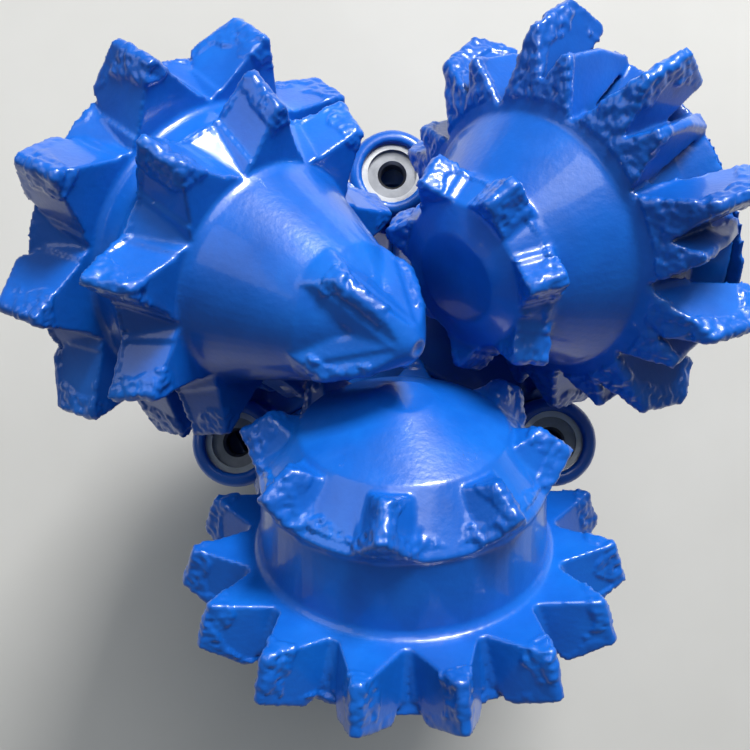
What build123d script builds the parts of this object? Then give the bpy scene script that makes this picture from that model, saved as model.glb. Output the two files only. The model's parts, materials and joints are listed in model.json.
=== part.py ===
from build123d import *
import os
from math import asin, cos, degrees, hypot, pi, radians, sin, sqrt, tan

# Tricone milled-tooth drill bit, 12 1/4 in, standing on its threaded pin.
# Millimetres. +Z is up, the origin is the centre of the pin's bottom end on the bit axis.
# Three legs 120 degrees apart each carry one rolling cone; the cones are all different,
# so that the rows of one run in the grooves of the other two.

# ---------------------------------------------------------------- gauge and journal layout
GAUGE_DIAMETER = 311.15        # hole size that the bit drills
HEAD_SCALE = GAUGE_DIAMETER / 311.15   # legs, bearings, jets and cones follow the gauge
JOURNAL_ANGLE = 31.5           # journal axis above the horizontal, pointing inward
CONE_OFFSET = 4.5 * HEAD_SCALE   # sideways shift of each journal axis from the bit axis
LEG_AZIMUTHS = {1: 270.0, 2: 30.0, 3: 150.0}
LEG_RELIEF = 5.5               # leg backs stand this far inside the gauge radius

# ---------------------------------------------------------------- rotary shouldered pin
PIN_LENGTH = 127.0             # 6 5/8 in regular pin, four threads per inch
PIN_END_DIAMETER = 131.0       # over the thread crests at the small end
PIN_TAPER = 1.0 / 6.0          # on diameter, two inches per foot
THREAD_DEPTH = 3.7
PIN_BASE_DIAMETER = 150.4      # plain cylinder under the shoulder
PIN_BASE_LENGTH = 16.0
PIN_END_CHAMFER = 6.0
WATER_BORE_DIAMETER = 88.9
SHOULDER_FACE_DIAMETER = 186.6
SHOULDER_BEVEL = 6.7           # from the face out to the shank
SHANK_DIAMETER = SHOULDER_FACE_DIAMETER + 2 * SHOULDER_BEVEL
AXES_ABOVE_SHOULDER = 229.0 * HEAD_SCALE   # where the journal axes pass the bit axis
AXES_HEIGHT = PIN_LENGTH + AXES_ABOVE_SHOULDER
SHANK_LENGTH = 23.0            # from the make-up shoulder to where the legs flare out
FLARE_HEIGHT = 55.0 * HEAD_SCALE   # over which the legs swell to their full radius

# ---------------------------------------------------------------- bit body and legs
BODY_TOP_HEIGHT = 70.0 * HEAD_SCALE   # top of the solid middle above the make-up shoulder
PLENUM_HEIGHT = 46.0 * HEAD_SCALE   # inside height of the water chamber above the shoulder
LEG_WIDTH = 124.0 * HEAD_SCALE
SHIRTTAIL_RADIUS = 77.0 * HEAD_SCALE   # rounded upper end of the leg, about the journal axis
LEG_FACE = -132.0 * HEAD_SCALE   # along the journal axis, seen from AXES_HEIGHT
LEG_DEPTH = 110.0 * HEAD_SCALE

# ---------------------------------------------------------------- journal and bearing
SEAL_LAND_RADIUS = 45.3 * HEAD_SCALE
SEAL_LAND_END = -123.0 * HEAD_SCALE
MAIN_JOURNAL_RADIUS = 40.0 * HEAD_SCALE
MAIN_JOURNAL_END = -70.0 * HEAD_SCALE
NOSE_PIN_RADIUS = 21.0 * HEAD_SCALE
NOSE_PIN_END = -58.0 * HEAD_SCALE
RUNNING_FIT = 0.06             # radial clearance of both journal bushings
END_PLAY = 0.3                 # axial clearance of the cone on its journal
MAIN_BUSHING_WALL = 4.5 * HEAD_SCALE
NOSE_BUSHING_WALL = 3.5 * HEAD_SCALE
THRUST_BUTTON_RADIUS = 15.0 * HEAD_SCALE
THRUST_BUTTON_THICKNESS = 4.0 * HEAD_SCALE
BALL_RADIUS = 7.5 * HEAD_SCALE
BALL_RACE_CENTRE = -80.0 * HEAD_SCALE
BALL_RACE_WALL = 11.0 * HEAD_SCALE   # length of plain bore on each side of the ball race centre
BALL_CLEARANCE = 0.15
BALLS_PER_CONE = 16
SEAL_SECTION_RADIUS = 3.3 * HEAD_SCALE
SEAL_CENTRE = -126.4 * HEAD_SCALE
SEAL_GLAND_CLEARANCE = 0.3
SEAL_GLAND_HALF_WIDTH = 3.8 * HEAD_SCALE
BALL_HOLE_ANGLE = 35.0         # slope of the ball loading hole against the journal axis
BALL_HOLE_RADIUS = 8.0 * HEAD_SCALE
BALL_PLUG_CLEARANCE = 0.05

# ---------------------------------------------------------------- lubricant reservoir
RESERVOIR_RADIUS = 19.0 * HEAD_SCALE
RESERVOIR_ABOVE_SHOULDER = 93.0 * HEAD_SCALE
RESERVOIR_DEPTH = 60.0 * HEAD_SCALE
CUP_WALL = 2.0 * HEAD_SCALE
CUP_LENGTH = 46.0 * HEAD_SCALE
CAP_THICKNESS = 8.0 * HEAD_SCALE
CAP_RECESS = 4.0 * HEAD_SCALE
CAP_VENT_RADIUS = 2.5
SNAP_RING_WIDTH = 2.4
SNAP_RING_BITE = 1.6
DIAPHRAGM_WALL = 2.2
GREASE_BORE_RADIUS = 2.5
GREASE_PLUG_RADIUS = 6.0
GREASE_PLUG_LENGTH = 10.0
GREASE_PLUG_RISE = 33.0 * HEAD_SCALE   # above the reservoir axis

# ---------------------------------------------------------------- jet nozzles
NOZZLE_PITCH_RADIUS = 98.0 * HEAD_SCALE
NOZZLE_BOSS_RADIUS = 24.0 * HEAD_SCALE
NOZZLE_BOSS_TOP = 95.0 * HEAD_SCALE   # above the make-up shoulder
NOZZLE_BOSS_CHAMFER = 3.0 * HEAD_SCALE
NOZZLE_RADIUS = 16.5 * HEAD_SCALE
NOZZLE_LENGTH = 30.0 * HEAD_SCALE
NOZZLE_THROAT_RADIUS = 6.5 * HEAD_SCALE
NOZZLE_DEPTH = 8.0 * HEAD_SCALE   # from the boss top down to the nozzle
NOZZLE_PASSAGE_RADIUS = 12.0 * HEAD_SCALE
RETAINER_THICKNESS = 3.0 * HEAD_SCALE
RETAINER_BORE_RADIUS = 13.5 * HEAD_SCALE
RETAINER_BITE = 1.5
NOZZLE_SEAL_SECTION = 1.9
NOZZLE_SEAL_SQUEEZE = 0.6
NOZZLE_CLEARANCE = 0.05

# ---------------------------------------------------------------- joining of the legs
DOWEL_RADIUS = 8.0
DOWEL_LENGTH = 28.0
DOWEL_INSET = 26.0             # from the shank surface in to the dowel axis
DOWEL_ABOVE_SHOULDER = 14.0
WELD_BEAD_RADIUS = 4.0
WELD_BEAD_EMBED = 2.4

# ---------------------------------------------------------------- cone teeth
# Stations are (distance along the journal axis, radius about it) in millimetres.
# Distances are negative outward from the point where the axes cross the bit axis.
GAUGE_TIP_STATION = -121.7 * HEAD_SCALE
HEEL_STATION = -131.0 * HEAD_SCALE
HEEL_SETBACK = 15.0 * HEAD_SCALE   # how much smaller the back edge is than the gauge tips
CREST_HALF_WIDTH = 1.7 * HEAD_SCALE
FLANK_SLOPE = 0.50             # half width gained per millimetre below the crest
FOOT_STEP = 1.3                # ledge at the foot of each flank left by the milling cutter
FOOT_HEIGHT = 2.5
NEAR_SIDE_RADIUS = 160.0       # generous limits of the half that holds one tooth
NEAR_SIDE_REACH = 200.0
ROOT_SINK = 3.0 * HEAD_SCALE   # tooth roots go this far into the cone body


def tip_radius(station):
    """Radius about the journal at which a tooth touches the gauge circle."""
    reach = sqrt((GAUGE_DIAMETER / 2) ** 2 - CONE_OFFSET ** 2)
    angle = radians(JOURNAL_ANGLE)
    return (reach + station * cos(angle)) / sin(angle)


GAUGE_TIP = (GAUGE_TIP_STATION, tip_radius(GAUGE_TIP_STATION))
HEEL_RADIUS = GAUGE_TIP[1] - HEEL_SETBACK


def at(station, radius):
    """A point of a cone's outline, following the gauge."""
    return (station * HEAD_SCALE, radius * HEAD_SCALE)


def row(root_in, crest_in, crest_out, root_out, count, phase, slope=FLANK_SLOPE):
    """One row of teeth: its side outline, number of teeth, first angle and flank slope."""
    return dict(
        outline=[root_in, crest_in, crest_out, root_out],
        count=count,
        phase=phase,
        slope=slope,
    )


HEEL = (HEEL_STATION, HEEL_RADIUS)
HEEL_ROOT = (HEEL_STATION, HEEL_RADIUS - 5.0)

# Cone 1 has a plain cut-back nose, one inner row and the gauge row.
CONE_1 = dict(
    body=[at(-33.0, 0), at(-33.0, 13.0), at(-47.5, 44.0), at(-50.5, 46.5), at(-69.0, 62.0),
          at(-72.0, 61.0), at(-102.0, 63.5), at(-105.0, 66.0), HEEL_ROOT],
    rows=[
        row(at(-50.0, 46.2), at(-45.0, 57.0), at(-55.0, 70.0), at(-69.0, 62.2), 8, -6.7, 0.62),
        row(at(-105.0, 66.0), at(-102.5, 92.0), GAUGE_TIP, HEEL, 15, -10.9, 0.50),
    ],
)
# Cone 2 carries a short inner row and, outside it, ten pairs of a tall and a low tooth.
CONE_2 = dict(
    body=[at(-39.0, 0), at(-39.0, 20.0), at(-43.0, 32.0), at(-55.5, 38.5), at(-58.5, 39.5),
          at(-82.5, 56.5), at(-85.0, 58.5), at(-118.0, 62.0), at(-131.0, 72.0)],
    rows=[
        row(at(-43.0, 32.0), at(-38.0, 42.0), at(-52.0, 50.0), at(-58.0, 39.5), 7, -30.4, 0.62),
        row(at(-84.5, 58.0), at(-95.5, 90.0), at(-118.5, 96.5), HEEL, 10, 16.0, 0.36),
        row(at(-84.5, 58.0), at(-92.0, 82.0), at(-115.0, 80.0), at(-131.0, 74.0), 10, 3.0, 0.40),
    ],
)
# Cone 3 carries the four-bladed spear point, a middle row and the gauge row.
CONE_3 = dict(
    body=[at(12.0, 0), at(6.0, 5.0), at(-22.0, 30.0), at(-64.5, 48.0), at(-67.5, 50.0),
          at(-90.0, 65.0), at(-92.0, 64.0), at(-101.0, 65.0), at(-103.5, 67.0), HEEL_ROOT],
    rows=[
        row(at(17.0, 4.0), at(8.0, 16.0), at(-10.0, 30.0), at(-24.0, 31.5), 4, -15.0, 0.75),
        row(at(-67.5, 50.0), at(-65.5, 74.0), at(-84.0, 84.0), at(-90.5, 65.0), 9, -10.7, 0.55),
        row(at(-103.5, 67.0), at(-100.6, 94.0), GAUGE_TIP, HEEL, 10, 7.6, 0.62),
    ],
)
CONES = {1: CONE_1, 2: CONE_2, 3: CONE_3}

# ---------------------------------------------------------------- derived heights
SHOULDER_Z = PIN_LENGTH
DOWEL_PITCH_RADIUS = SHANK_DIAMETER / 2 - DOWEL_INSET
SHANK_TOP_Z = SHOULDER_Z + SHANK_LENGTH
LEG_RADIUS = GAUGE_DIAMETER / 2 - LEG_RELIEF
BODY_TOP_Z = SHOULDER_Z + BODY_TOP_HEIGHT
RESERVOIR_Z = SHOULDER_Z + RESERVOIR_ABOVE_SHOULDER
BOSS_TOP_Z = SHOULDER_Z + NOZZLE_BOSS_TOP
SECTOR_HALF_ANGLE = 60.0
BALL_PITCH_RADIUS = MAIN_JOURNAL_RADIUS + BALL_CLEARANCE
RESERVOIR_FLOOR = LEG_RADIUS - RESERVOIR_DEPTH


# ---------------------------------------------------------------- helpers
def journal_plane():
    """Local frame of a journal: z runs along its axis towards the nose, x is outward-up."""
    angle = radians(JOURNAL_ANGLE)
    return Plane(
        origin=(0, CONE_OFFSET, AXES_HEIGHT),
        x_dir=(sin(angle), 0, cos(angle)),
        z_dir=(-cos(angle), 0, sin(angle)),
    )


def on_journal(shape):
    """Carry a shape from the journal's own frame to the leg at azimuth zero."""
    return journal_plane().location * shape


def at_leg(number, shape):
    """Turn a shape from azimuth zero to its leg."""
    return Rot(0, 0, LEG_AZIMUTHS[number]) * shape


def turned(points):
    """Solid of revolution about local z from (station, radius) points."""
    outline = Polyline(*[(radius, 0, station) for station, radius in points], close=True)
    return revolve(make_face(outline), Axis.Z, 360)


def ring(inner, outer, low, high):
    """Plain ring about local z."""
    return turned([(low, inner), (low, outer), (high, outer), (high, inner)])


def rod(start, end, radius):
    """Round bar between two points."""
    axis = Vector(*end) - Vector(*start)
    return Plane(origin=start, z_dir=axis).location * Cylinder(
        radius, axis.length, align=(Align.CENTER, Align.CENTER, Align.MIN)
    )


def save(name, shape, colour):
    """Write one node, one solid or a group of separate solids."""
    solids = shape.solids()
    result = solids[0] if len(solids) == 1 else Compound(children=list(solids))
    result.label = name
    result.color = Color(*colour)
    export_step(result, f"parts/{name}.step")


# ---------------------------------------------------------------- cones
def tooth_wedge(spec):
    """Flanks of one tooth: a bar of trapezoid section with a ledge along each foot."""
    root_in, crest_in, crest_out, root_out = spec["outline"]
    run = hypot(crest_out[0] - crest_in[0], crest_out[1] - crest_in[1])
    along = Vector(crest_out[1] - crest_in[1], 0, crest_out[0] - crest_in[0]) / run
    inward = Vector(along.Z, 0, -along.X)
    depth = max(
        inward.dot(Vector(root[1] - crest_in[1], 0, root[0] - crest_in[0]))
        for root in (root_in, root_out)
    )
    foot = depth - FOOT_HEIGHT
    bottom = depth + ROOT_SINK
    slope = spec["slope"]
    half = [
        (0.0, -1.0),
        (CREST_HALF_WIDTH, -1.0),
        (CREST_HALF_WIDTH, 0.0),
        (CREST_HALF_WIDTH + slope * foot, foot),
        (CREST_HALF_WIDTH + slope * foot + FOOT_STEP, foot),
        (CREST_HALF_WIDTH + slope * bottom + FOOT_STEP, bottom),
        (0.0, bottom),
    ]
    section_plane = Plane(
        origin=(crest_in[1], 0, crest_in[0]), x_dir=(0, 1, 0), z_dir=along
    )
    sign = 1 if section_plane.y_dir.dot(inward) > 0 else -1
    points = [(w, sign * d) for w, d in half]
    points += [(-w, sign * d) for w, d in reversed(half[1:-1])]
    reach = run + 80.0
    face = section_plane.offset(-40.0) * make_face(Polyline(*points, close=True))
    return extrude(face, reach, dir=along)


def tooth_band(spec):
    """Turned ring that the teeth of one row are cut from."""
    root_in, crest_in, crest_out, root_out = spec["outline"]
    sunk_in = (root_in[0] - 1.0, max(root_in[1] - ROOT_SINK, 0.0))
    sunk_out = (root_out[0] + 1.0, max(root_out[1] - ROOT_SINK, 0.0))
    return turned([sunk_in, root_in, crest_in, crest_out, root_out, sunk_out])


def tooth_row(spec):
    """All teeth of one row, turned ends and milled flanks."""
    band = tooth_band(spec)
    wedge = tooth_wedge(spec)
    near_side = Rot(0, 90, 0) * Cylinder(NEAR_SIDE_RADIUS, NEAR_SIDE_REACH,
                                         align=(Align.CENTER, Align.CENTER, Align.MIN))
    blank = band & wedge & near_side
    return [
        Rot(0, 0, spec["phase"] + index * 360.0 / spec["count"]) * blank
        for index in range(spec["count"])
    ]


def bearing_bore():
    """Space inside a cone for its bushings, balls, seal and thrust button."""
    bush = MAIN_JOURNAL_RADIUS + RUNNING_FIT + MAIN_BUSHING_WALL
    nose = NOSE_PIN_RADIUS + RUNNING_FIT + NOSE_BUSHING_WALL
    gland = SEAL_LAND_RADIUS + 2 * SEAL_SECTION_RADIUS + SEAL_GLAND_CLEARANCE
    race_back = BALL_RACE_CENTRE - BALL_RACE_WALL
    button_back = NOSE_PIN_END + END_PLAY
    bore = turned([
        (HEEL_STATION - 1.0, 0),
        (HEEL_STATION - 1.0, SEAL_LAND_RADIUS + 0.8),
        (SEAL_CENTRE - SEAL_GLAND_HALF_WIDTH, SEAL_LAND_RADIUS + 0.8),
        (SEAL_CENTRE - SEAL_GLAND_HALF_WIDTH, gland),
        (SEAL_CENTRE + SEAL_GLAND_HALF_WIDTH, gland),
        (SEAL_CENTRE + SEAL_GLAND_HALF_WIDTH, bush),
        (race_back, bush),
        (race_back, MAIN_JOURNAL_RADIUS + 0.5),
        (MAIN_JOURNAL_END + END_PLAY, MAIN_JOURNAL_RADIUS + 0.5),
        (MAIN_JOURNAL_END + END_PLAY, nose),
        (button_back, nose),
        (button_back, THRUST_BUTTON_RADIUS),
        (button_back + THRUST_BUTTON_THICKNESS, THRUST_BUTTON_RADIUS),
        (button_back + THRUST_BUTTON_THICKNESS, 0),
    ])
    race = Pos(0, 0, BALL_RACE_CENTRE) * Torus(BALL_PITCH_RADIUS, BALL_RADIUS + BALL_CLEARANCE)
    return bore + race


def cone(spec):
    """Cone body of revolution with all rows of teeth and the bearing bore."""
    profile = [(spec["body"][0][0], 0)] + spec["body"][1:]
    body = turned(profile + [(HEEL_STATION, 0)])
    teeth = []
    for teeth_row in spec["rows"]:
        teeth += tooth_row(teeth_row)
    return body.fuse(*teeth) - bearing_bore()


# ---------------------------------------------------------------- bearing pieces
def main_bushing():
    inner = MAIN_JOURNAL_RADIUS + RUNNING_FIT
    low = SEAL_CENTRE + SEAL_GLAND_HALF_WIDTH
    return ring(inner, inner + MAIN_BUSHING_WALL, low, BALL_RACE_CENTRE - BALL_RACE_WALL)


def nose_bushing():
    inner = NOSE_PIN_RADIUS + RUNNING_FIT
    low = MAIN_JOURNAL_END + END_PLAY
    return ring(inner, inner + NOSE_BUSHING_WALL, low, NOSE_PIN_END + END_PLAY)


def thrust_button():
    low = NOSE_PIN_END + END_PLAY
    return ring(0, THRUST_BUTTON_RADIUS, low, low + THRUST_BUTTON_THICKNESS)


def retaining_balls():
    ball = Pos(BALL_PITCH_RADIUS, 0, BALL_RACE_CENTRE) * Sphere(BALL_RADIUS)
    return Compound(children=[
        Rot(0, 0, index * 360.0 / BALLS_PER_CONE) * ball for index in range(BALLS_PER_CONE)
    ])


def cone_seal():
    return Pos(0, 0, SEAL_CENTRE) * Torus(
        SEAL_LAND_RADIUS + SEAL_SECTION_RADIUS, SEAL_SECTION_RADIUS
    )


def ball_hole(radius):
    """Loading hole from the back of the leg to the unloaded side of the ball race."""
    slope = radians(BALL_HOLE_ANGLE)
    start = Vector(-BALL_PITCH_RADIUS, 0, BALL_RACE_CENTRE)
    outward = Vector(sin(slope), 0, -cos(slope))
    return rod(tuple(start), tuple(start + outward * 140.0), radius)


def ball_plug():
    """Pin that closes the loading hole, dished where the balls pass and flush outside."""
    plug = ball_hole(BALL_HOLE_RADIUS - BALL_PLUG_CLEARANCE)
    race = Pos(0, 0, BALL_RACE_CENTRE) * Torus(BALL_PITCH_RADIUS, BALL_RADIUS + BALL_CLEARANCE)
    limit = ring(0, MAIN_JOURNAL_RADIUS - 0.2, -260.0, MAIN_JOURNAL_END)
    plug = on_journal((plug & limit) - race)
    return plug & Cylinder(LEG_RADIUS - 0.5, 900.0)


# ---------------------------------------------------------------- legs
def body_envelope():
    """Largest outline of the body and legs above the make-up shoulder."""
    top = AXES_HEIGHT + 60.0
    shank = SHANK_DIAMETER / 2
    return turned([
        (SHOULDER_Z, 0),
        (SHOULDER_Z, SHOULDER_FACE_DIAMETER / 2),
        (SHOULDER_Z + shank - SHOULDER_FACE_DIAMETER / 2, shank),
        (SHANK_TOP_Z, shank),
        (SHANK_TOP_Z + FLARE_HEIGHT, LEG_RADIUS),
        (top, LEG_RADIUS),
        (top, 0),
    ])


def water_course():
    """Bore up the pin and the domed chamber that feeds the three jets."""
    bore = WATER_BORE_DIAMETER / 2
    roof = SHOULDER_Z + PLENUM_HEIGHT
    return turned([
        (-1.0, 0),
        (-1.0, bore),
        (roof - 26.0, bore),
        (roof - 12.0, bore - 12.0),
        (roof, 0),
    ])


def pin_and_core():
    """Threaded pin blank, shoulder, shank and the solid middle under the cones."""
    end = PIN_END_DIAMETER / 2 - THREAD_DEPTH
    taper_top = PIN_LENGTH - PIN_BASE_LENGTH
    shank = SHANK_DIAMETER / 2
    return turned([
        (0, 0),
        (0, end - PIN_END_CHAMFER),
        (PIN_END_CHAMFER, end),
        (taper_top, end + taper_top * PIN_TAPER / 2),
        (taper_top, PIN_BASE_DIAMETER / 2),
        (SHOULDER_Z, PIN_BASE_DIAMETER / 2),
        (SHOULDER_Z, SHOULDER_FACE_DIAMETER / 2),
        (SHOULDER_Z + shank - SHOULDER_FACE_DIAMETER / 2, shank),
        (SHANK_TOP_Z + 14.0, shank),
        (BODY_TOP_Z - 10.0, shank - 8.0),
        (BODY_TOP_Z, shank - 26.0),
        (BODY_TOP_Z + 3.0, 0),
    ])


def sector():
    """A third of the bit about azimuth zero."""
    reach = 400.0
    spread = reach * tan(radians(SECTOR_HALF_ANGLE))
    face = make_face(Polyline((0, 0, 0), (reach, -spread, 0), (reach, spread, 0), close=True))
    return extrude(face, AXES_HEIGHT + 100.0)


def leg_arm():
    """Arm of the leg: rounded about the journal at its upper end, flat towards the cone."""
    round_end = Circle(SHIRTTAIL_RADIUS)
    shaft = Pos(-130.0, 0) * Rectangle(260.0, LEG_WIDTH)
    outline = round_end + shaft
    arm = extrude(Pos(0, 0, LEG_FACE - LEG_DEPTH) * outline, LEG_DEPTH)
    return on_journal(arm) & body_envelope()


def journal():
    """Bearing pin turned on the leg, with its ball race."""
    flange = BALL_RACE_CENTRE - BALL_RACE_WALL
    pin = turned([
        (LEG_FACE - 4.0, 0),
        (LEG_FACE - 4.0, SEAL_LAND_RADIUS),
        (SEAL_LAND_END, SEAL_LAND_RADIUS),
        (SEAL_LAND_END, MAIN_JOURNAL_RADIUS),
        (MAIN_JOURNAL_END, MAIN_JOURNAL_RADIUS),
        (MAIN_JOURNAL_END, NOSE_PIN_RADIUS),
        (NOSE_PIN_END, NOSE_PIN_RADIUS),
        (NOSE_PIN_END, 0),
    ])
    race = Pos(0, 0, BALL_RACE_CENTRE) * Torus(BALL_PITCH_RADIUS, BALL_RADIUS + BALL_CLEARANCE)
    return on_journal(pin - race)


def nozzle_point(side, height):
    """Point on a nozzle axis; side is +1 or -1 for the two edges of the leg."""
    angle = radians(side * SECTOR_HALF_ANGLE)
    return (NOZZLE_PITCH_RADIUS * cos(angle), NOZZLE_PITCH_RADIUS * sin(angle), height)


def nozzle_boss(side):
    """Raised round boss for a jet nozzle, standing in the gap between two legs."""
    low = SHOULDER_Z + 8.0
    boss = Cylinder(NOZZLE_BOSS_RADIUS, BOSS_TOP_Z - low,
                    align=(Align.CENTER, Align.CENTER, Align.MIN))
    boss = chamfer(boss.edges().group_by(Axis.Z)[-1], NOZZLE_BOSS_CHAMFER)
    return (Pos(*nozzle_point(side, low)) * boss) & body_envelope()


def nozzle_cavity(side):
    """Pocket, retainer groove and feed passage of one jet nozzle."""
    floor = BOSS_TOP_Z - NOZZLE_DEPTH - NOZZLE_LENGTH
    pocket = ring(0, NOZZLE_RADIUS + NOZZLE_CLEARANCE, floor, BOSS_TOP_Z + 1.0)
    groove_top = BOSS_TOP_Z - NOZZLE_DEPTH + RETAINER_THICKNESS
    groove = ring(0, NOZZLE_RADIUS + RETAINER_BITE, BOSS_TOP_Z - NOZZLE_DEPTH, groove_top)
    seal_z = floor + NOZZLE_LENGTH / 2
    gland = ring(0, NOZZLE_RADIUS + 2 * NOZZLE_SEAL_SECTION - NOZZLE_SEAL_SQUEEZE,
                 seal_z - 1.3 * NOZZLE_SEAL_SECTION, seal_z + 1.3 * NOZZLE_SEAL_SECTION)
    local = Pos(*nozzle_point(side, 0)) * (pocket + groove + gland)
    inlet = Vector(*nozzle_point(side, 0)) * 0.30
    start = (inlet.X, inlet.Y, SHOULDER_Z + PLENUM_HEIGHT - 22.0)
    passage = rod(start, nozzle_point(side, floor + 4.0), NOZZLE_PASSAGE_RADIUS)
    return local + passage


def reservoir_pocket():
    """Stepped bore in the back of the leg for the lubricant reservoir."""
    pocket = rod((RESERVOIR_FLOOR, 0, RESERVOIR_Z), (LEG_RADIUS + 20, 0, RESERVOIR_Z),
                 RESERVOIR_RADIUS)
    face = LEG_RADIUS - CAP_RECESS
    groove = rod((face - SNAP_RING_WIDTH, 0, RESERVOIR_Z), (face, 0, RESERVOIR_Z),
                 RESERVOIR_RADIUS + SNAP_RING_BITE)
    plug_z = RESERVOIR_Z + GREASE_PLUG_RISE
    plug = rod((LEG_RADIUS - GREASE_PLUG_LENGTH, 0, plug_z), (LEG_RADIUS + 20, 0, plug_z),
               GREASE_PLUG_RADIUS)
    feed_x = RESERVOIR_FLOOR + 6.0
    feed = rod((feed_x, 0, RESERVOIR_Z), (feed_x, 0, RESERVOIR_Z + 62.0), GREASE_BORE_RADIUS)
    link = rod((feed_x, 0, plug_z), (LEG_RADIUS - 1, 0, plug_z), GREASE_BORE_RADIUS)
    return pocket + groove + plug + feed + link


def dowel(side):
    angle = radians(side * SECTOR_HALF_ANGLE)
    across = Vector(-sin(angle), cos(angle), 0) * (DOWEL_LENGTH / 2)
    centre = Vector(
        DOWEL_PITCH_RADIUS * cos(angle),
        DOWEL_PITCH_RADIUS * sin(angle),
        SHOULDER_Z + DOWEL_ABOVE_SHOULDER,
    )
    return rod(tuple(centre - across), tuple(centre + across), DOWEL_RADIUS)


def leg():
    """One leg forging: a third of the pin and body, the arm, its journal and one boss."""
    blank = (pin_and_core() & sector()) + (leg_arm() & sector())
    blank = blank - nozzle_boss(-1)
    blank = blank + journal() + nozzle_boss(1)
    bore = on_journal(ball_hole(BALL_HOLE_RADIUS))
    fluid_way = water_course() + nozzle_cavity(1) + nozzle_cavity(-1)
    cuts = [fluid_way, bore, reservoir_pocket(), dowel(1), dowel(-1)]
    for cut in cuts:
        blank = blank - cut
    return blank


def weld_seams():
    """Three closing weld beads on the shank, where the legs meet."""
    angle = radians(SECTOR_HALF_ANGLE)
    offset = SHANK_DIAMETER / 2 - WELD_BEAD_EMBED
    x, y = offset * cos(angle), offset * sin(angle)
    bead = rod((x, y, SHOULDER_Z + 9.0), (x, y, SHANK_TOP_Z + 4.0), WELD_BEAD_RADIUS)
    bead = bead - Cylinder(SHANK_DIAMETER / 2, 900.0) - nozzle_boss(1)
    return Compound(children=[Rot(0, 0, 120.0 * index + 30.0) * bead.solid() for index in range(3)])


def dowel_pins():
    return Compound(children=[Rot(0, 0, 120.0 * index + 30.0) * dowel(1) for index in range(3)])


# ---------------------------------------------------------------- reservoir pieces
def along_reservoir(points):
    """Turned piece on the reservoir axis from (radius from bit axis, own radius) points."""
    return Pos(0, 0, RESERVOIR_Z) * (Rot(0, 90, 0) * turned(points))


def reservoir_cup():
    low = RESERVOIR_FLOOR
    outer = RESERVOIR_RADIUS
    inner = outer - CUP_WALL
    return along_reservoir([
        (low, GREASE_BORE_RADIUS),
        (low, outer),
        (low + CUP_LENGTH, outer),
        (low + CUP_LENGTH, inner),
        (low + 12.0 + CUP_WALL, inner),
        (low + 12.0, GREASE_BORE_RADIUS),
    ])


def diaphragm():
    """Rolling rubber bag that parts the grease from the drilling fluid."""
    rim = RESERVOIR_FLOOR + CUP_LENGTH
    inner = RESERVOIR_RADIUS - CUP_WALL - 0.5
    return along_reservoir([
        (rim, RESERVOIR_RADIUS - 0.2),
        (rim + 1.6, RESERVOIR_RADIUS - 0.2),
        (rim + 1.6, inner - DIAPHRAGM_WALL),
        (rim - 22.0, inner - DIAPHRAGM_WALL - 1.5),
        (rim - 28.0, 0),
        (rim - 28.0 - DIAPHRAGM_WALL, 0),
        (rim - 23.0, inner - 1.5),
        (rim, inner),
    ])


def reservoir_cap():
    face = LEG_RADIUS - CAP_RECESS - SNAP_RING_WIDTH
    low = RESERVOIR_FLOOR + CUP_LENGTH + 1.6
    return along_reservoir([
        (low, CAP_VENT_RADIUS),
        (low, RESERVOIR_RADIUS - 0.1),
        (face, RESERVOIR_RADIUS - 0.1),
        (face, RESERVOIR_RADIUS - 5.0),
        (face - 1.5, RESERVOIR_RADIUS - 6.5),
        (face - 1.5, CAP_VENT_RADIUS),
    ])


def cap_snap_ring():
    face = LEG_RADIUS - CAP_RECESS
    outer = RESERVOIR_RADIUS + SNAP_RING_BITE - 0.1
    full = along_reservoir([
        (face - SNAP_RING_WIDTH, RESERVOIR_RADIUS - 2.6),
        (face - SNAP_RING_WIDTH, outer),
        (face, outer),
        (face, RESERVOIR_RADIUS - 2.6),
    ])
    gap = Pos(face, 0, RESERVOIR_Z + RESERVOIR_RADIUS) * Box(10.0, 9.0, 10.0)
    return full - gap


def grease_plug():
    plug_z = RESERVOIR_Z + GREASE_PLUG_RISE
    start = LEG_RADIUS - GREASE_PLUG_LENGTH
    body = rod((start, 0, plug_z), (LEG_RADIUS - 1.0, 0, plug_z), GREASE_PLUG_RADIUS)
    socket = Pos(LEG_RADIUS, 0, plug_z) * (Rot(0, 90, 0) * extrude(
        RegularPolygon(3.2, 6), amount=4.0, both=True))
    return body - socket


# ---------------------------------------------------------------- nozzle pieces
def jet_nozzle():
    floor = BOSS_TOP_Z - NOZZLE_DEPTH - NOZZLE_LENGTH
    top = floor + NOZZLE_LENGTH
    inlet = NOZZLE_PASSAGE_RADIUS
    profile = [
        (floor, inlet),
        (floor, NOZZLE_RADIUS),
        (top, NOZZLE_RADIUS),
        (top, NOZZLE_THROAT_RADIUS + 1.5),
        (top - 2.0, NOZZLE_THROAT_RADIUS),
        (top - 12.0, NOZZLE_THROAT_RADIUS),
    ]
    return Pos(*nozzle_point(1, 0)) * turned(profile)


def nozzle_seal():
    seal_z = BOSS_TOP_Z - NOZZLE_DEPTH - NOZZLE_LENGTH / 2
    torus = Torus(NOZZLE_RADIUS + NOZZLE_SEAL_SECTION - NOZZLE_SEAL_SQUEEZE, NOZZLE_SEAL_SECTION)
    outside = ring(NOZZLE_RADIUS, 40.0, -10.0, 10.0)
    return Pos(*nozzle_point(1, seal_z)) * (torus & outside)


def nozzle_retainer():
    low = BOSS_TOP_Z - NOZZLE_DEPTH
    full = ring(RETAINER_BORE_RADIUS, NOZZLE_RADIUS + RETAINER_BITE - 0.1,
                low, low + RETAINER_THICKNESS)
    gap = Pos(NOZZLE_RADIUS, 0, low) * Box(12.0, 7.0, 12.0)
    return Pos(*nozzle_point(1, 0)) * (full - gap)


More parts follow.
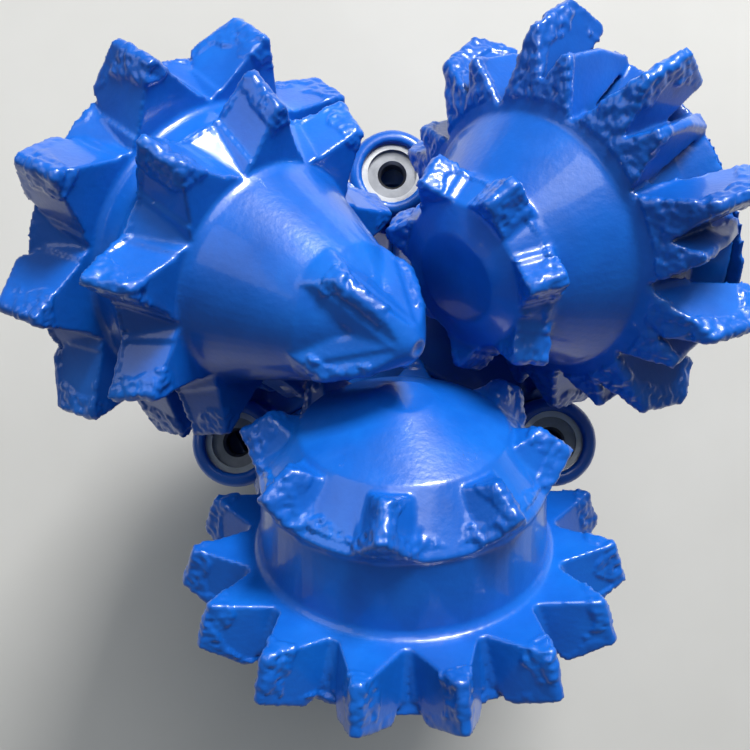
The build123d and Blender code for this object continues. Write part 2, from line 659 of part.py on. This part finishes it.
# ---------------------------------------------------------------- output
PAINT = (0.05, 0.30, 0.75)
STEEL = (0.62, 0.63, 0.65)
RUBBER = (0.08, 0.08, 0.09)
BRONZE = (0.70, 0.52, 0.28)
CARBIDE = (0.40, 0.41, 0.43)


def build():
    os.makedirs("parts", exist_ok=True)
    leg_shape = leg()
    on_cone = {
        "main_bushing": (main_bushing(), BRONZE),
        "nose_bushing": (nose_bushing(), BRONZE),
        "thrust_button": (thrust_button(), CARBIDE),
        "retaining_balls": (retaining_balls(), STEEL),
        "cone_seal": (cone_seal(), RUBBER),
    }
    on_leg = {
        "leg": (leg_shape, PAINT),
        "ball_plug": (ball_plug(), STEEL),
        "reservoir_cup": (reservoir_cup(), STEEL),
        "diaphragm": (diaphragm(), RUBBER),
        "reservoir_cap": (reservoir_cap(), STEEL),
        "cap_snap_ring": (cap_snap_ring(), STEEL),
        "grease_plug": (grease_plug(), STEEL),
        "jet_nozzle": (jet_nozzle(), CARBIDE),
        "nozzle_seal": (nozzle_seal(), RUBBER),
        "nozzle_retainer": (nozzle_retainer(), STEEL),
    }
    for number, spec in CONES.items():
        save(f"cone_{number}", at_leg(number, on_journal(cone(spec))), PAINT)
        for name, (shape, colour) in on_cone.items():
            save(f"{name}_{number}", at_leg(number, on_journal(shape)), colour)
        for name, (shape, colour) in on_leg.items():
            save(f"{name}_{number}", at_leg(number, shape), colour)
    save("weld_seams", weld_seams(), PAINT)
    save("dowel_pins", dowel_pins(), STEEL)


build()
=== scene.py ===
import json
from math import cos, radians, sin, tau

import bpy
import numpy as np
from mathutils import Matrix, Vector, noise


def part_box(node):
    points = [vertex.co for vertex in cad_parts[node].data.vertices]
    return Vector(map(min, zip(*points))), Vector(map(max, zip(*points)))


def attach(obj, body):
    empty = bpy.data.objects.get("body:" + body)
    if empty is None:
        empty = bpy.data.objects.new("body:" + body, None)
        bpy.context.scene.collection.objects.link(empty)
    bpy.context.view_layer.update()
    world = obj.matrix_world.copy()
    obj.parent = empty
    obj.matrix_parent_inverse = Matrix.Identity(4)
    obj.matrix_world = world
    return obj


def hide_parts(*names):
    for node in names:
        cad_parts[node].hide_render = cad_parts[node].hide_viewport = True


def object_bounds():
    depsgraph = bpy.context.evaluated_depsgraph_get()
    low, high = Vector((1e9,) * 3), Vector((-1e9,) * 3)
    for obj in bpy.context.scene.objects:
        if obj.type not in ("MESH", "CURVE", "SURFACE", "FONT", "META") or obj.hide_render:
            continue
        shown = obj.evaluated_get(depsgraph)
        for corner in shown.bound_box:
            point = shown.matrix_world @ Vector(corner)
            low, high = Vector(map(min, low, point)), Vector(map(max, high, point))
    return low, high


# Looks of the tricone drill bit, in metres, in the CAD frame.
# Cones and legs get a finer skin with rounded edges; the teeth get rough hardfacing.

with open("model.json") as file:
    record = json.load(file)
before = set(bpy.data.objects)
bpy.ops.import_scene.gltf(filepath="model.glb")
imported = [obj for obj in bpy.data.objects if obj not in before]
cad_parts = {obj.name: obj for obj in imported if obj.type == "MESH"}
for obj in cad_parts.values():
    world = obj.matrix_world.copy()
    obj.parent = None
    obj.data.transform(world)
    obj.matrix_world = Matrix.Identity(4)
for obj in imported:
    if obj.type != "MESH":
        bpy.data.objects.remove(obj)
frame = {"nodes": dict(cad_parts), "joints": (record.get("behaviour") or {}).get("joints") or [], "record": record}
cad_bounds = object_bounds()
record = frame["record"]
joints = {joint["name"]: joint for joint in frame["joints"]}
mounts = {mount["name"]: mount for mount in record["mounts"]}
NUMBERS = (1, 2, 3)

# ---------------------------------------------------------------- sizes
CONE_VOXEL = 0.0010
LEG_VOXEL = 0.0016
HARDFACING_HEIGHT = 0.0014      # how proud the weld deposit stands
HARDFACING_REACH = 0.0140       # how far down from the crest it runs
FACING_EDGE = 0.30              # where the deposit ends, as a share of its reach
FACING_FADE = 0.10              # over which it rises to full height
FACING_RAGGED = 0.50            # how much its lower edge wanders
EDGE_SCALE = 90.0               # noise scales, per metre
LUMP_SCALE = 170.0
GRAIN_SCALE = 430.0
PIT_SCALE = 300.0
PIT_OFFSET = Vector((3, 5, 7))
GAUGE_FACE_RADIUS = 0.150       # faces that rub the hole wall are faced more thinly
GAUGE_FACE_SHARE = 0.35
OUTWARD_FACE = 0.3              # least outward slope of a face that counts as root
SPEAR_REACH = 0.0045            # the spear point is faced only along its edges
SPEAR_START = -0.026            # the spear point lies nose-side of this station
TOOTH_MIN_HEIGHT = 0.0060       # rows with less relief than this are grooves
CASTING_ROUGHNESS = 0.00012     # of the forged legs
CASTING_SCALE = 60.0
SMOOTHING_ROUNDS = 2            # slight rounding of every edge
THREAD_PITCH = 0.00635          # four threads per inch
THREAD_HEIGHT = 0.0035
THREAD_TAPER = 1.0 / 12.0       # radius gained per metre of length
THREAD_STEPS = 90               # segments in one turn
THREAD_SMALL_END = 0.0655       # crest radius at the pin's end
THREAD_DEPTH = 0.0037
THREAD_START = 0.007            # first turn above the pin's end
THREAD_RUNOUT = 0.002           # last turn below the pin's plain base
THREAD_SINK = 0.0004            # ridge foot below the root surface
THREAD_FLANK = 0.46             # half width of the ridge's foot, in pitches
THREAD_FLAT = 0.10              # half width of its crest, in pitches
WELD_RADIUS = 0.0994            # where a bead's centre line stands
WELD_WIDTH = 0.0042
WELD_RISE = 0.0021
WELD_DROOP = 0.0012             # lean of each ripple
WELD_RIPPLES = 13
WELD_RINGS = 56
WELD_SPOKES = 14
FLOOR_HALF_SIZE = 4.0
FLOOR_GAP = 0.0002


# ---------------------------------------------------------------- materials
def new_material(name):
    material = bpy.data.materials.new(name)
    material.use_nodes = True
    nodes = material.node_tree.nodes
    return material, nodes, material.node_tree.links, nodes["Principled BSDF"]


def noise_node(nodes, links, scale, detail=4.0, roughness=0.55):
    coords = nodes.new("ShaderNodeTexCoord")
    texture = nodes.new("ShaderNodeTexNoise")
    texture.inputs["Scale"].default_value = scale
    texture.inputs["Detail"].default_value = detail
    texture.inputs["Roughness"].default_value = roughness
    links.new(coords.outputs["Object"], texture.inputs["Vector"])
    return texture


def colour_ramp(nodes, links, source, stops):
    ramp = nodes.new("ShaderNodeValToRGB")
    links.new(source, ramp.inputs["Fac"])
    elements = ramp.color_ramp.elements
    elements[0].position, elements[0].color = stops[0][0], (*stops[0][1], 1)
    elements[1].position, elements[1].color = stops[-1][0], (*stops[-1][1], 1)
    for position, colour in stops[1:-1]:
        elements.new(position).color = (*colour, 1)
    return ramp


def add_bump(nodes, links, shader, heights, strength, distance):
    bump = nodes.new("ShaderNodeBump")
    bump.inputs["Strength"].default_value = strength
    bump.inputs["Distance"].default_value = distance
    links.new(heights, bump.inputs["Height"])
    links.new(bump.outputs["Normal"], shader.inputs["Normal"])


def paint_material():
    """Glossy blue enamel, brushed on thick, over forged and milled steel, with shade painted darker into its
    recesses.
    """
    material, nodes, links, shader = new_material("blue_enamel")
    tone = noise_node(nodes, links, 16.0, 5.0, 0.6)
    ramp = colour_ramp(nodes, links, tone.outputs["Fac"], [
        (0.30, (0.002, 0.070, 0.36)),
        (0.52, (0.003, 0.105, 0.50)),
        (0.72, (0.006, 0.150, 0.62)),
    ])
    # Painted shade: ambient occlusion darkens the blue in recesses, creases and between the teeth, down to 0.55 of
    # its colour.
    painted_recess_shade = nodes.new("ShaderNodeAmbientOcclusion")
    painted_recess_shade.inputs["Distance"].default_value = 0.012
    painted_recess_shade.samples = 6
    shade = nodes.new("ShaderNodeMapRange")
    shade.inputs["From Min"].default_value = 0.15
    shade.inputs["From Max"].default_value = 0.70
    shade.inputs["To Min"].default_value = 0.55
    links.new(painted_recess_shade.outputs["AO"], shade.inputs["Value"])
    # The painted shade is multiplied into the base colour.
    painted_shade_mix = nodes.new("ShaderNodeMix")
    painted_shade_mix.data_type = "RGBA"
    painted_shade_mix.blend_type = "MULTIPLY"
    painted_shade_mix.inputs["Factor"].default_value = 1.0
    links.new(ramp.outputs["Color"], painted_shade_mix.inputs["A"])
    links.new(shade.outputs["Result"], painted_shade_mix.inputs["B"])
    links.new(painted_shade_mix.outputs["Result"], shader.inputs["Base Color"])
    gloss = noise_node(nodes, links, 55.0, 4.0)
    rough = nodes.new("ShaderNodeMapRange")
    rough.inputs["To Min"].default_value = 0.24
    rough.inputs["To Max"].default_value = 0.46
    links.new(gloss.outputs["Fac"], rough.inputs["Value"])
    links.new(rough.outputs["Result"], shader.inputs["Roughness"])
    shader.inputs["Coat Weight"].default_value = 0.55
    shader.inputs["Coat Roughness"].default_value = 0.09
    orange_peel = noise_node(nodes, links, 420.0, 3.0)
    add_bump(nodes, links, shader, orange_peel.outputs["Fac"], 0.30, 0.0004)
    return material


def metal_material(name, colour, low, high, scale):
    material, nodes, links, shader = new_material(name)
    shader.inputs["Metallic"].default_value = 1.0
    tone = noise_node(nodes, links, scale, 6.0, 0.65)
    dark = tuple(0.72 * value for value in colour)
    ramp = colour_ramp(nodes, links, tone.outputs["Fac"], [(0.3, dark), (0.7, colour)])
    links.new(ramp.outputs["Color"], shader.inputs["Base Color"])
    rough = nodes.new("ShaderNodeMapRange")
    rough.inputs["To Min"].default_value = low
    rough.inputs["To Max"].default_value = high
    links.new(tone.outputs["Fac"], rough.inputs["Value"])
    links.new(rough.outputs["Result"], shader.inputs["Roughness"])
    fine = noise_node(nodes, links, 900.0, 2.0)
    add_bump(nodes, links, shader, fine.outputs["Fac"], 0.15, 0.0002)
    return material


def rubber_material():
    material, nodes, links, shader = new_material("nitrile_rubber")
    tone = noise_node(nodes, links, 300.0)
    ramp = colour_ramp(nodes, links, tone.outputs["Fac"], [
        (0.3, (0.010, 0.010, 0.011)), (0.7, (0.024, 0.024, 0.026)),
    ])
    links.new(ramp.outputs["Color"], shader.inputs["Base Color"])
    shader.inputs["Roughness"].default_value = 0.6
    add_bump(nodes, links, shader, tone.outputs["Fac"], 0.2, 0.0002)
    return material


def floor_material():
    material, nodes, links, shader = new_material("pale_floor")
    tone = noise_node(nodes, links, 3.0, 6.0)
    ramp = colour_ramp(nodes, links, tone.outputs["Fac"], [
        (0.3, (0.50, 0.49, 0.46)), (0.7, (0.57, 0.56, 0.53)),
    ])
    links.new(ramp.outputs["Color"], shader.inputs["Base Color"])
    shader.inputs["Roughness"].default_value = 0.85
    return material


MATERIALS = {
    "blue_paint": paint_material(),
    "bare_steel": metal_material("machined_steel", (0.56, 0.57, 0.59), 0.22, 0.45, 70.0),
    "carbide": metal_material("tungsten_carbide", (0.30, 0.31, 0.33), 0.30, 0.50, 120.0),
    "bronze": metal_material("bearing_bronze", (0.66, 0.47, 0.24), 0.25, 0.45, 60.0),
    "rubber": rubber_material(),
}


def dress(obj, material):
    obj.data.materials.clear()
    obj.data.materials.append(material)


# ---------------------------------------------------------------- skins
def journal_frame(number):
    joint = joints[f"cone_{number}_spin"]
    return Vector(joint["pos_m"]), Vector(joint["axis"]).normalized()


def applied(obj):
    """Replace an object's mesh with the result of its modifiers."""
    depsgraph = bpy.context.evaluated_depsgraph_get()
    mesh = bpy.data.meshes.new_from_object(obj.evaluated_get(depsgraph))
    obj.modifiers.clear()
    obj.data = mesh
    return obj


def fine_skin(node, voxel):
    """Copy of a CAD node on an even fine mesh, with its edges slightly rounded."""
    copy = bpy.data.objects.new(f"{node}_skin", frame["nodes"][node].data.copy())
    bpy.context.scene.collection.objects.link(copy)
    remesh = copy.modifiers.new("even", "REMESH")
    remesh.mode = "VOXEL"
    remesh.voxel_size = voxel
    remesh.use_smooth_shade = True
    smooth = copy.modifiers.new("round", "SMOOTH")
    smooth.factor = 0.5
    smooth.iterations = SMOOTHING_ROUNDS
    return applied(copy)


def vertex_arrays(mesh):
    points = np.zeros(len(mesh.vertices) * 3)
    normals = np.zeros(len(mesh.vertices) * 3)
    mesh.vertices.foreach_get("co", points)
    mesh.vertices.foreach_get("normal", normals)
    return points.reshape(-1, 3), normals.reshape(-1, 3)


def raise_surface(obj, points, normals, lift):
    """Move each vertex along its normal by its own height."""
    points += normals * lift[:, None]
    obj.data.vertices.foreach_set("co", points.ravel())
    obj.data.update()


def facing_height(place, drop, reach):
    """Height of the weld deposit at one point; zero below its ragged lower edge."""
    cover = 1.0 - drop / reach + FACING_RAGGED * noise.noise(place * EDGE_SCALE)
    cover = min(max((cover - FACING_EDGE) / FACING_FADE, 0.0), 1.0)
    if cover <= 0.0:
        return 0.0
    lumps = 0.50 + 0.55 * noise.noise(place * LUMP_SCALE) + 0.42 * noise.noise(place * GRAIN_SCALE)
    pits = min(0.0, 0.25 + noise.noise(place * PIT_SCALE + PIT_OFFSET))
    return HARDFACING_HEIGHT * cover * (max(lumps, 0.0) + 1.2 * pits)


def crest_profile(station, radius, outer):
    """Largest and smallest outside radius in each 1 mm slice along the journal axis."""
    index = np.round(station * 1000).astype(int)
    index -= index.min()
    high = np.zeros(index.max() + 1)
    low = np.full(index.max() + 1, 9.0)
    np.maximum.at(high, index, radius)
    np.minimum.at(low, index[outer], radius[outer])
    return high[index], low[index]


def hardface(obj, number):
    """Weld deposit on the teeth: lumpy, thickest at the crests, with a ragged lower edge."""
    origin, axis = journal_frame(number)
    points, normals = vertex_arrays(obj.data)
    offset = points - np.array(origin)
    station = offset @ np.array(axis)
    radial = offset - np.outer(station, np.array(axis))
    radius = np.linalg.norm(radial, axis=1)
    unit = radial / np.maximum(radius, 1e-6)[:, None]
    outer = (normals * unit).sum(1) > OUTWARD_FACE
    high, low = crest_profile(station, radius, outer)
    relief = high - low
    drop = high - radius
    reach = np.where(station > SPEAR_START, SPEAR_REACH, HARDFACING_REACH)
    lift = np.zeros(len(points))
    for i in np.nonzero((drop < reach) & (relief > TOOTH_MIN_HEIGHT))[0]:
        lift[i] = facing_height(Vector(points[i]), drop[i], reach[i])
    gauge = np.hypot(points[:, 0], points[:, 1]) > GAUGE_FACE_RADIUS
    lift[gauge] *= GAUGE_FACE_SHARE
    raise_surface(obj, points, normals, lift)


def roughen(obj, amount, scale):
    """Faint unevenness of a forged surface."""
    points, normals = vertex_arrays(obj.data)
    lift = np.array([noise.noise(Vector(point) * scale) for point in points])
    raise_surface(obj, points, normals, lift * amount)


def show_skin(skin, node, body):
    """Paint a skin and let it stand for its CAD node."""
    dress(skin, MATERIALS["blue_paint"])
    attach(skin, body)
    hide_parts(node)


def dress_cones():
    for number in NUMBERS:
        skin = fine_skin(f"cone_{number}", CONE_VOXEL)
        hardface(skin, number)
        show_skin(skin, f"cone_{number}", f"rolling_cone_{number}")


def dress_legs():
    for number in NUMBERS:
        skin = fine_skin(f"leg_{number}", LEG_VOXEL)
        roughen(skin, CASTING_ROUGHNESS, CASTING_SCALE)
        show_skin(skin, f"leg_{number}", "bit_body")


# ---------------------------------------------------------------- thread
def mesh_object(name, vertices, faces):
    mesh = bpy.data.meshes.new(name)
    mesh.from_pydata(vertices, [], faces)
    mesh.validate()
    mesh.update()
    for polygon in mesh.polygons:
        polygon.use_smooth = True
    obj = bpy.data.objects.new(name, mesh)
    bpy.context.scene.collection.objects.link(obj)
    return obj


def pin_thread():
    """Right-handed tapered V-thread ridge, running out at both ends."""
    base = mounts["pin_base"]
    length = base["pos_m"][2] - base["dims"]["length_mm"] / 2000.0
    root_top = THREAD_SMALL_END - THREAD_DEPTH + length * THREAD_TAPER
    start, end = THREAD_START, length - THREAD_RUNOUT
    turns = (end - start) / THREAD_PITCH
    count = int(turns * THREAD_STEPS)
    section = ((-THREAD_FLANK, 0), (-THREAD_FLAT, 1.0), (THREAD_FLAT, 1.0), (THREAD_FLANK, 0))
    vertices, faces = [], []
    for step in range(count + 1):
        angle = tau * step / THREAD_STEPS
        height = start + THREAD_PITCH * step / THREAD_STEPS
        fade = min(1.0, step / THREAD_STEPS, (count - step) / THREAD_STEPS)
        for along, rise in section:
            z = height + along * THREAD_PITCH
            root = root_top - (length - z) * THREAD_TAPER
            lift = rise * THREAD_HEIGHT * fade if rise > 0 else -THREAD_SINK
            radius = root + lift
            vertices.append((radius * cos(angle), radius * sin(angle), z))
    for step in range(count):
        low, high = step * 4, step * 4 + 4
        for side in range(3):
            faces.append((low + side, high + side, high + side + 1, low + side + 1))
        faces.append((low + 3, high + 3, high, low))
    faces += [(0, 1, 2, 3), tuple(count * 4 + side for side in (3, 2, 1, 0))]
    thread = mesh_object("pin_thread_ridge", vertices, faces)
    dress(thread, MATERIALS["blue_paint"])
    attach(thread, "bit_body")


# ---------------------------------------------------------------- weld beads
def weld_bead(index):
    """Rippled closing weld over the straight seam between two legs."""
    low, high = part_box("weld_seams")
    angle = radians(90.0 + 120.0 * index)
    out = Vector((cos(angle), sin(angle), 0))
    side = Vector((-sin(angle), cos(angle), 0))
    rings, spokes = WELD_RINGS, WELD_SPOKES
    start, end = low.z, high.z
    vertices, faces = [], []
    for ring in range(rings + 1):
        part = ring / rings
        z = start + (end - start) * part
        ripple = 0.12 * sin(part * WELD_RIPPLES * tau)
        taper = min(1.0, 6 * part, 6 * (1 - part))
        width = WELD_WIDTH * (0.4 + 0.6 * taper) * (1 + ripple)
        rise = WELD_RISE * (0.2 + 0.8 * taper) * (1 + 2 * ripple)
        for spoke in range(spokes):
            turn = tau * spoke / spokes
            point = out * (WELD_RADIUS + rise * cos(turn)) + side * width * sin(turn)
            vertices.append((point.x, point.y, z - WELD_DROOP * cos(turn)))
    for ring in range(rings):
        for spoke in range(spokes):
            after = (spoke + 1) % spokes
            a, b = ring * spokes, (ring + 1) * spokes
            faces.append((a + spoke, a + after, b + after, b + spoke))
    faces.append(tuple(reversed(range(spokes))))
    faces.append(tuple(rings * spokes + spoke for spoke in range(spokes)))
    return mesh_object(f"weld_bead_{index + 1}", vertices, faces)


def dress_welds():
    for index in range(3):
        bead = weld_bead(index)
        dress(bead, MATERIALS["blue_paint"])
        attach(bead, "bit_body")
        if index == 0:
            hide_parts("weld_seams")


# ---------------------------------------------------------------- carried-over nodes
def dress_cad_nodes():
    slots = {part["node"]: part["material_slot"] for part in record["subparts"]}
    for name, obj in frame["nodes"].items():
        dress(obj, MATERIALS[slots[name]])


# ---------------------------------------------------------------- stage
def add_floor():
    size = FLOOR_HALF_SIZE
    floor = mesh_object("floor", [(-size, -size, 0), (size, -size, 0), (size, size, 0),
                                  (-size, size, 0)], [(0, 1, 2, 3)])
    floor.location.z = cad_bounds[0][2] - FLOOR_GAP
    dress(floor, floor_material())


def add_light(name, place, target, size, power):
    light = bpy.data.lights.new(name, "AREA")
    light.size = size
    light.energy = power
    lamp = bpy.data.objects.new(name, light)
    bpy.context.scene.collection.objects.link(lamp)
    lamp.location = place
    aim = Vector(target) - Vector(place)
    lamp.rotation_euler = aim.to_track_quat("-Z", "Y").to_euler()


def add_sky_light():
    """Weak soft sun, which keeps the far floor as pale as the near floor."""
    light = bpy.data.lights.new("sky", "SUN")
    light.angle = radians(40.0)
    light.energy = 1.1
    lamp = bpy.data.objects.new("sky", light)
    bpy.context.scene.collection.objects.link(lamp)
    lamp.rotation_euler = (radians(-30.0), radians(12.0), 0)


def add_lights():
    target = (0, 0, 0.30)
    add_light("key", (0.50, 1.30, 1.45), target, 0.50, 46.0)
    add_light("fill", (-1.3, 0.5, 1.6), target, 1.2, 5.0)
    add_sky_light()
    world = bpy.data.worlds.new("studio")
    bpy.context.scene.world = world
    world.use_nodes = True
    nodes, links = world.node_tree.nodes, world.node_tree.links
    light = nodes["Background"]
    light.inputs["Color"].default_value = (0.62, 0.80, 1.0, 1)
    light.inputs["Strength"].default_value = 0.15
    backdrop = nodes.new("ShaderNodeBackground")
    backdrop.inputs["Color"].default_value = (0.80, 0.79, 0.76, 1)
    backdrop.inputs["Strength"].default_value = 0.85
    path = nodes.new("ShaderNodeLightPath")
    mix = nodes.new("ShaderNodeMixShader")
    links.new(path.outputs["Is Camera Ray"], mix.inputs["Fac"])
    links.new(light.outputs["Background"], mix.inputs[1])
    links.new(backdrop.outputs["Background"], mix.inputs[2])
    links.new(mix.outputs["Shader"], nodes["World Output"].inputs["Surface"])


def add_camera():
    """Nearly straight down over the cones, close, as one looks at a standing bit."""
    camera = bpy.data.cameras.new("camera")
    camera.sensor_width = 36.0
    camera.lens = 45.0
    camera.clip_start = 0.01
    view = bpy.data.objects.new("camera", camera)
    bpy.context.scene.collection.objects.link(view)
    axes_height = joints["cone_1_spin"]["pos_m"][2]
    view.location = (0.0016, -0.0414, axes_height + 0.3686)
    view.rotation_euler = (radians(3.24), radians(1.29), radians(-0.18))
    bpy.context.scene.camera = view


dress_cad_nodes()
dress_cones()
dress_legs()
pin_thread()
dress_welds()
add_floor()
add_lights()
add_camera()
bpy.context.scene.view_settings.view_transform = "Standard"
